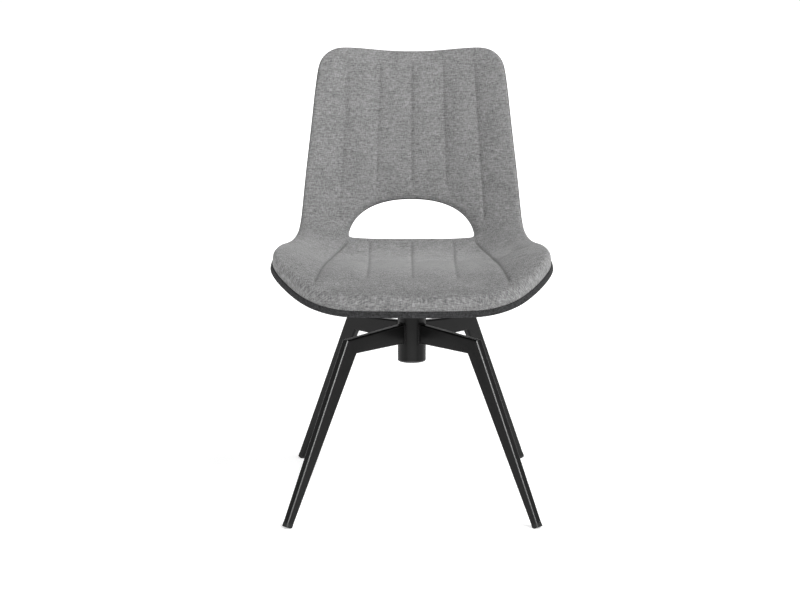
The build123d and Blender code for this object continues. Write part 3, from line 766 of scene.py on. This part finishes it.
def flat_pattern(loops, lines, spacing, edge_rows=(), line_rows=()):
    """Points and triangles between an outer and an inner loop, with lines kept as edges."""
    points, edges = Points(), []
    for loop in loops:
        first, count = len(points.places), len(loop)
        for place in loop:
            points.add(place)
        edges += [(first + i, first + (i + 1) % count) for i in range(count)]
    for line in lines:
        kept = [points.add(place, seam_point_gap) for place in line]
        edges += [(a, b) for a, b in zip(kept, kept[1:]) if a is not None and b is not None]
    candidates = []
    for group, rows, closed in ((lines, line_rows, False), (loops, edge_rows, True)):
        for number, row in enumerate(rows):
            for line in group:
                candidates += row_beside(line, closed, number, row)
    candidates += honeycomb(loops[0].min(axis=0), loops[0].max(axis=0), spacing)
    for places, gap in candidates:
        for place in places[inside(places, loops[0]) & ~inside(places, loops[1])]:
            points.add(place, min(max(gap, smallest_gap), spacing))
    made = delaunay_2d_cdt([Vector(p) for p in points.places], edges, [], whole_hull, same_place)
    flat, triangles = np.array([tuple(v) for v in made[0]]), np.array(made[2])
    middles = flat[triangles].mean(axis=1)
    return flat, triangles[inside(middles, loops[0]) & ~inside(middles, loops[1])]


flat, triangles = flat_pattern(
    [rim_loop, opening_loop], seam_lines, front_spacing, front_edge_rows, front_seam_rows)
print("front pattern:", len(flat), "points,", len(triangles), "triangles")

# %% [markdown]
# Each fabric piece is a closed skin, as a sewn cushion is: a sheet over the flat pattern, rows
# of faces that turn round the rim and round the opening, and a plain sheet that closes it where
# nobody looks. A solidified sheet would be quicker, but its edge couldn't roll or be drawn in.
# The points carry numbers for the materials to read, such as their place on the flat cloth.

# %% Closed skins
hidden_spacing = 24 * mm
hidden_cloth_depth = 0.3


def carried(mesh, name, values):
    """Stores a number or a place with each point of a mesh, for its material to read."""
    values = np.asarray(values, np.float32)
    kind, key = ("FLOAT", "value") if values.ndim == 1 else ("FLOAT_VECTOR", "vector")
    mesh.attributes.new(name, kind, "POINT").data.foreach_set(key, values.ravel())


def mesh_object(name, points, faces):
    """A smooth mesh object."""
    mesh = bpy.data.meshes.new(name)
    mesh.from_pydata([tuple(p) for p in points], [], [tuple(int(i) for i in f) for f in faces])
    mesh.validate()
    mesh.update()
    mesh.shade_smooth()
    return placed(name, mesh)


def closed_skin(flat, triangles, heights, side_rows, end_height):
    """Points, faces, cloth places and last rings of a skin; its sheet starts with both loops.

    side_rows turns the heights along an edge into (inset, heights) for each row round it.
    """
    points = [seat_place(flat[:, 0], flat[:, 1], heights)]
    cloth = [np.column_stack([flat, np.zeros(len(flat))])]
    faces = [tuple(t) for t in triangles]
    total, first, end_loops, end_rings = len(flat), 0, [], []
    for loop in (rim_loop, opening_loop):
        away, count = outward(loop), len(loop)
        ring = np.arange(first, first + count)
        first += count
        edge = heights[ring]
        for inset, height in side_rows(edge):
            at = loop - away * inset
            turned = np.abs(edge - height)[:, None]
            points.append(seat_place(at[:, 0], at[:, 1], height))
            cloth.append(np.column_stack([loop + away * turned, np.zeros(count)]))
            new = np.arange(total, total + count)
            faces += [(ring[i - 1], new[i - 1], new[i], ring[i]) for i in range(count)]
            ring, total = new, total + count
        end_loops.append(at)
        end_rings.append(ring)
    inner, inner_triangles = flat_pattern(end_loops, [], hidden_spacing)
    inner = inner[first:]
    number = np.concatenate(end_rings + [np.arange(total, total + len(inner))])
    points.append(seat_place(inner[:, 0], inner[:, 1], np.full(len(inner), end_height)))
    cloth.append(np.column_stack([inner, np.full(len(inner), hidden_cloth_depth)]))
    faces += [tuple(number[t][::-1]) for t in inner_triangles]
    return np.vstack(points), faces, np.vstack(cloth), end_rings


print("hidden sheets:", round(hidden_spacing / mm), "mm triangles")

# %% [markdown]
# The pad is a closed cushion. Its front is full in the middle and rolls down to the edges on a
# quarter of an ellipse; its sides are drawn in towards the seam with the cover; its flat back
# lies on the shell. At the seams the cover is sewn down, so the foam is pressed in there, and
# each channel starts a little low, because it is blown up later.

# %% Height of the pad
pad_base = 12.1 * mm
seat_pad_thickness = 34 * mm
back_pad_thickness = 17 * mm
thinning_starts = 430 * mm
thinning_length = 160 * mm
pad_edge_share = 0.47
rim_roll = 30 * mm
opening_roll = 22 * mm
side_draw = 2 * mm
seam_press = 4.2 * mm
seam_half_width = 3.2 * mm
seam_start_fade = 30 * mm
seam_end_fade = 18 * mm
faded_seam_gap = 50 * mm
start_low = 1.6 * mm
free_from_edge = 14 * mm
free_from_seam = 12 * mm


def pad_top(places):
    """Height of the pad's front over the underside, before any seam."""
    back = soft_step((places[:, 1] - thinning_starts) / thinning_length)
    full = seat_pad_thickness + (back_pad_thickness - seat_pad_thickness) * back
    drop = np.zeros(len(places))
    for loop, width in ((rim_loop, rim_roll), (opening_loop, opening_roll)):
        out = np.clip(1 - distance_to(places, loop, True)[0] / width, 0, 1)
        drop = np.maximum(drop, 1 - np.sqrt(1 - out * out))
    return pad_base + full * (1 - (1 - pad_edge_share) * drop)


def seam_pull(places):
    """How hard the nearest seam pulls each place down, from 0 to 1, and its distance."""
    pull, nearest = np.zeros(len(places)), np.full(len(places), far)
    for seam in seam_lines:
        gap, at = distance_to(places, seam, False)
        left = length_along(seam)[-1] - at
        fade = soft_step(at / seam_start_fade) * soft_step(left / seam_end_fade)
        pull = np.maximum(pull, fade * np.exp(-(gap / seam_half_width) ** 2))
        nearest = np.minimum(nearest, gap + (1 - fade) * faded_seam_gap)
    return pull, nearest


pull, seam_gap = seam_pull(flat)
rim_gap = np.minimum(distance_to(flat, rim_loop, True)[0], distance_to(flat, opening_loop, True)[0])
free = soft_step(rim_gap / free_from_edge) * soft_step(seam_gap / free_from_seam)
heights = pad_top(flat) - seam_press * pull - start_low * free
print("over the underside:", round(heights.min() / mm, 1), "to", round(heights.max() / mm, 1), "mm")

# %% [markdown]
# The skin is closed with five rows down the pad's sides, which are drawn in by 2 mm where they meet
# the dark cover. The edge round its back stays sharp when the mesh is subdivided. Shade is painted
# into the seams, darkest in the side seams and least on the back, whose channels face the light.

# %% Front pad
side_row_shares = (0.2, 0.45, 0.7, 0.88, 1.0)
side_seam_beyond = 120 * mm
# How much painted shade each kind of seam gets.
side_seam_dark, seat_seam_dark, back_seam_dark = 1.0, 0.6, 0.3


def pad_sides(edge):
    """Rows from the edge of the pad's front down to its back."""
    return [(side_draw * s * s, edge + (pad_base - edge) * s) for s in side_row_shares]


def crease(mesh, rings):
    """Keeps the edges along some rings of points sharp under subdivision."""
    wanted = {frozenset((int(ring[i - 1]), int(ring[i]))) for ring in rings for i in range(len(ring))}
    creases = mesh.attributes.new("crease_edge", "FLOAT", "EDGE")
    for edge in mesh.edges:
        creases.data[edge.index].value = float(frozenset(edge.vertices) in wanted)


pad_points, pad_faces, pad_cloth, base_rings = closed_skin(
    flat, triangles, heights, pad_sides, pad_base)
front_pad = mesh_object("front_pad", pad_points, pad_faces)
side_and_back_points = len(pad_points) - len(flat)
# Painted seam shade: the pull of each seam, weighted by its kind.
dark = np.where(np.abs(flat[:, 0]) > side_seam_beyond, side_seam_dark, seat_seam_dark)
dark = np.where(flat[:, 1] > opening_lip_at, back_seam_dark, dark)
carried(front_pad.data, "cloth_place", pad_cloth)
crease(front_pad.data, base_rings)
carried(front_pad.data, "painted_seam_shade", np.append(pull * dark, np.zeros(side_and_back_points)))
print("front pad:", len(front_pad.data.vertices), "points")

# %% [markdown] Foam under a sewn cover swells wherever nothing holds it. It could be sculpted,
# but Blender's cloth solver gives each panel its own fullness: the mesh is a skin with air
# pressure inside, without gravity, pinned at the edges and seams. Twenty frames are enough,
# and no point may move more than a few millimetres.

# %% Blow up the pad
air_pressure = 4.0
air_frames = 20
most_swelling = 5 * mm

pins = front_pad.vertex_groups.new(name="held")
for i, hold in enumerate(np.append(1 - free, np.ones(side_and_back_points))):
    pins.add([i], float(hold), "REPLACE")


def blow_up(pad, pressure, frames, cap):
    """Swells a pinned, closed pad by air pressure, each point by no more than the cap."""
    cloth = pad.modifiers.new("air", "CLOTH")
    settings = cloth.settings
    settings.quality = 6
    settings.mass = 0.3
    settings.tension_stiffness = settings.compression_stiffness = 14
    settings.shear_stiffness = 7
    settings.bending_stiffness = 0.8
    settings.use_pressure = True
    settings.uniform_pressure_force = pressure
    settings.vertex_group_mass = "held"
    settings.effector_weights.gravity = 0
    scene = bpy.context.scene
    for step in range(1, frames + 1):
        scene.frame_set(step)
    swollen = pad.evaluated_get(bpy.context.evaluated_depsgraph_get()).to_mesh()
    rest = np.array([v.co for v in pad.data.vertices])
    move = np.array([v.co for v in swollen.vertices]) - rest
    pad.modifiers.remove(cloth)
    scene.frame_set(1)
    size = np.linalg.norm(move, axis=1, keepdims=True)
    move *= np.minimum(1, cap / np.maximum(size, tiny))
    pad.data.vertices.foreach_set("co", (rest + move).astype(np.float32).ravel())
    pad.data.update()
    return size.max(), np.linalg.norm(move, axis=1).mean()


most, mean = blow_up(front_pad, air_pressure, air_frames, most_swelling)
print("swelling: most", round(most / mm, 2), "mm, on average", round(mean / mm, 2), "mm")

# %% [markdown]
# Thread pulls the cloth into small puckers beside each seam, and no upholstery is quite even:
# the surface wanders by some tenths of a millimetre. Both are moves along the normals, so they
# cost no extra faces. One level of subdivision then rounds the triangles off.

# %% Puckers and subdivision
pucker_length = 17 * mm
pucker_depth = 0.45 * mm
pucker_reach = 9 * mm
pucker_free_edge = 12 * mm
wander_length = 55 * mm
wander_depth = 0.5 * mm


def settle(pad):
    """Moves the front's points along their normals: puckers near seams, a slow wander elsewhere."""
    pad.data.update()
    places = np.array([v.co for v in pad.data.vertices])
    normals = np.array([v.normal for v in pad.data.vertices])
    near = np.exp(-(seam_gap / pucker_reach) ** 2) * soft_step(rim_gap / pucker_free_edge)
    for i in range(len(flat)):
        spot = Vector(places[i])
        pucker = noise.noise(spot / pucker_length) * pucker_depth * near[i]
        slow = noise.noise(spot / wander_length) * wander_depth * free[i]
        places[i] += normals[i] * (pucker + slow)
    pad.data.vertices.foreach_set("co", places.astype(np.float32).ravel())
    pad.data.update()


settle(front_pad)
rounding = front_pad.modifiers.new("rounding", "SUBSURF")
rounding.levels = rounding.render_levels = 1
front_pad.data.materials.append(front_fabric)
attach(front_pad, "seat")
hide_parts("front_upholstery")
print("front pad settled")

# %% [markdown]
# The dark cover is a second skin: it lies under the seat and behind the back, turns round the
# edge of the shell and ends in a folded hem against the front fabric. The turn is a soft bend
# of a few millimetres, because there is thin wadding under the cloth. It has the same outline
# and no seams, so the two covers meet all the way round. Its outside looks down and back, so
# all its faces are turned over.

# %% Back cover
# Rows are (inset from the outline, height) in millimetres.
cover_thickness = 2.5 * mm
cover_bend = 2.2 * mm
cover_spacing = 9 * mm
cover_edge_rows = [4 * mm, 9 * mm]
bend_rows = [(0.9, 0.35), (0.25, 1.5), (0.0, 3.4)]
band_rows = [(0.0, 6.5), (0.0, 9.6)]
hem_rows = [(0.35, 11.2), (1.2, 11.9), (2.4, 12.0)]


def cover_sides(edge):
    """Rows round the bend, up the band, over the hem and down inside it."""
    rows = [(inset * mm, edge + height * mm) for inset, height in bend_rows + band_rows + hem_rows]
    return rows + [(cover_thickness, edge + cover_thickness)]


cover_loops = [loop - outward(loop) * cover_bend for loop in (rim_loop, opening_loop)]
outer, outer_triangles = flat_pattern(cover_loops, [], cover_spacing, cover_edge_rows)
cover_points, cover_faces, cover_cloth, _ = closed_skin(
    outer, outer_triangles, np.zeros(len(outer)), cover_sides, cover_thickness)
turned_over = [face[:1] + face[:0:-1] for face in cover_faces]
outer_cover = mesh_object("outer_cover", cover_points, turned_over)
carried(outer_cover.data, "cloth_place", cover_cloth)
outer_cover.data.materials.append(cover_fabric)
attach(outer_cover, "seat")
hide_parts("back_cover")
print("outer cover:", len(outer_cover.data.vertices), "points")

# %% [markdown]
# Each arm is welded to the hub all round. A weld is a small rounded bead in the corner, with
# the fine ripples that the torch leaves, and it lies under the same powder coat as the tubes.
# It is swept along the line where the arm's four faces meet the round hub. A curve
# with a bevel could make it too, but its thickness couldn't ripple so easily.

# %% Weld beads
hub_radius = 27.5 * mm
arm_half_thickness = 7.5 * mm
arm_low, arm_high = 302 * mm, 340 * mm
arm_angles = (45, 135, 225, 315)
bead_radius = 2.0 * mm
bead_corner = 3 * mm
bead_off_faces = 0.4 * mm
bead_spacing = 0.9 * mm
bead_sides, bead_corner_steps = 8, 6
ripple_length = 2.6 * mm
ripple_depth = 0.22 * mm


def bead_path():
    """(sideways, height) places round an arm's end, as a rounded rectangle."""
    half = arm_half_thickness + bead_off_faces
    low, high = arm_low - bead_off_faces, arm_high + bead_off_faces
    turns = np.linspace(0, math.pi / 2, bead_corner_steps)
    path = []
    for number, (side, height) in enumerate([(half, high), (-half, high), (-half, low), (half, low)]):
        middle = np.array([side - math.copysign(bead_corner, side),
                           height - math.copysign(bead_corner, height - (low + high) / 2)])
        angles = turns + number * math.pi / 2
        path.append(middle + bead_corner * np.stack([np.cos(angles), np.sin(angles)], axis=1))
    path = np.vstack(path + [path[0][:1]])
    return evenly_spaced(path, bead_spacing)[:-1]


def weld_beads():
    """One rippled bead round each of the four arms."""
    path = bead_path()
    away, count = outward(path), len(path)
    ripple = np.cos(2 * math.pi * np.arange(count) * bead_spacing / ripple_length)
    radius = (bead_radius + ripple_depth * ripple)[:, None]
    around = np.linspace(0, 2 * math.pi, bead_sides, endpoint=False)
    depth = np.sqrt(hub_radius ** 2 - path[:, 0] ** 2) + bead_off_faces
    x = depth[:, None] + radius * np.cos(around)
    y = path[:, :1] + radius * np.sin(around) * away[:, :1]
    z = path[:, 1:] + radius * np.sin(around) * away[:, 1:]
    points, faces = [], []
    for number, turn in enumerate(np.radians(arm_angles)):
        first = number * count * bead_sides
        turned_x = x * math.cos(turn) - y * math.sin(turn)
        turned_y = x * math.sin(turn) + y * math.cos(turn) + swivel_axis_y
        points.append(np.stack([turned_x, turned_y, z], axis=-1).reshape(-1, 3))
        for i in range(count):
            for k in range(bead_sides):
                corners = [(i, k), (i, k + 1), (i + 1, k + 1), (i + 1, k)]
                faces.append([first + a % count * bead_sides + b % bead_sides for a, b in corners])
    return mesh_object("weld_beads", np.vstack(points), faces)


welds = weld_beads()
welds.data.materials.append(finishes["black_steel"])
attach(welds, "base")
print("weld beads:", len(welds.data.vertices), "points")

# %% [markdown]
# The floor is one very large pale sheet, which is part of the studio. It reaches so
# far that its edge meets the horizon, right at the top of the picture. The photograph is cut
# out on white, so the floor also glows a little, which leaves only a trace of the shadow.

# %% Floor
half_floor = 400.0
corners = [(half_floor * x, half_floor * y, 0.0) for x, y in ((-1, -1), (1, -1), (1, 1), (-1, 1))]
floor = mesh_object("floor", corners, [(0, 1, 2, 3)])
floor.data.materials.append(Finish("pale_floor").surface(
    Base_Color=grey(0.9), Roughness=0.85, Emission_Color=grey(1.0), Emission_Strength=0.5))
print("floor:", 2 * half_floor, "metres wide")
